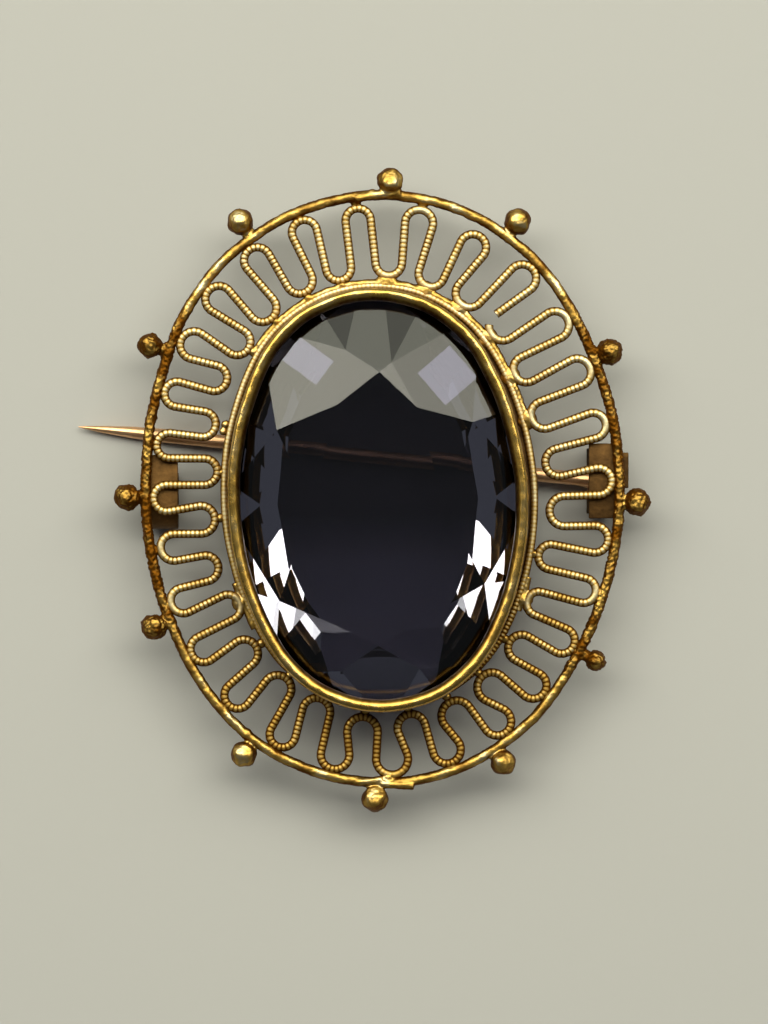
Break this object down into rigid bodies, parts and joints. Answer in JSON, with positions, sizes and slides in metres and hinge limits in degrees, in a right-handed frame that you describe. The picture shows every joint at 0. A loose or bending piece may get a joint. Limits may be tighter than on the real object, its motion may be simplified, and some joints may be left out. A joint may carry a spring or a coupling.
{
  "type": "scatter pin",
  "caption": "Oval gold scatter pin: a faceted pale amethyst in a plain collet, a band of ridged wavy wire, a round wire rim with small beads, and a hinged pin stem with a hook catch behind.",
  "frame": {"origin": "under the middle of the wire rim, on the surface that the brooch lies on or is pinned against", "axes": "+Y along the oval's long axis towards its top end, +Z out of the face, +X towards the hinge side as seen from the front"},
  "size_m": [0.0353, 0.0397, 0.0078],
  "materials": {
    "setting_gold": "yellow gold, rubbed bright on the ridges and brown with tarnish in the recesses",
    "stone": "polished, nearly clear with a pale violet tint",
    "rivet_gold": "dull yellow gold",
    "stem_gold": "dull yellow gold, polished towards the tip"
  },
  "bodies": {
    "setting": {"setting": "setting_gold", "stone": "stone", "hinge_rivet": "rivet_gold"},
    "pin_stem": {"pin_stem": "stem_gold"}
  },
  "joints": [
    {"name": "pin_hinge", "type": "hinge", "parent": "setting", "child": "pin_stem", "pos_m": [0.0134, 0.0005, 0.0008], "axis": [0, -1, 0], "range_deg": [-2, 95]}
  ]
}
